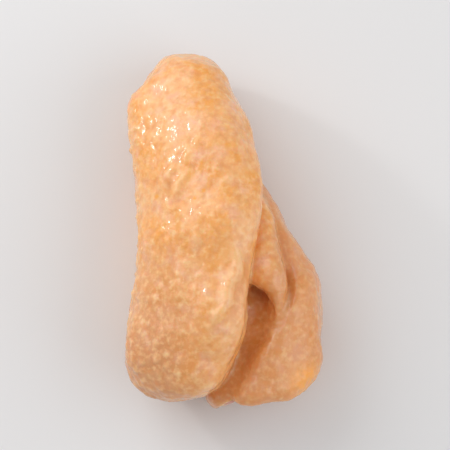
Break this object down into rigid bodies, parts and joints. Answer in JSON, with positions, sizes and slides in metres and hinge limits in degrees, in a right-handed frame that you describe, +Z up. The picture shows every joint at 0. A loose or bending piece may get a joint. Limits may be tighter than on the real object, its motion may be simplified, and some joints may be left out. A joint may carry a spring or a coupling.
{
  "type": "raw chicken wing",
  "caption": "Whole raw chicken wing with its skin on, folded at the elbow and wrist with the tip tucked under, lying on its side.",
  "frame": {"origin": "centre of the bounding box at table height", "axes": "+Y from the wrist towards the elbow, +X towards the side where the upper arm lies, +Z up from the table"},
  "size_m": [0.0516, 0.0946, 0.039],
  "materials": {
    "raw_skin": "moist raw poultry skin, pale peach with pink and yellow mottling and a soft wet shine"
  },
  "bodies": {
    "root": {"chicken_wing": "raw_skin"}
  },
  "joints": []
}
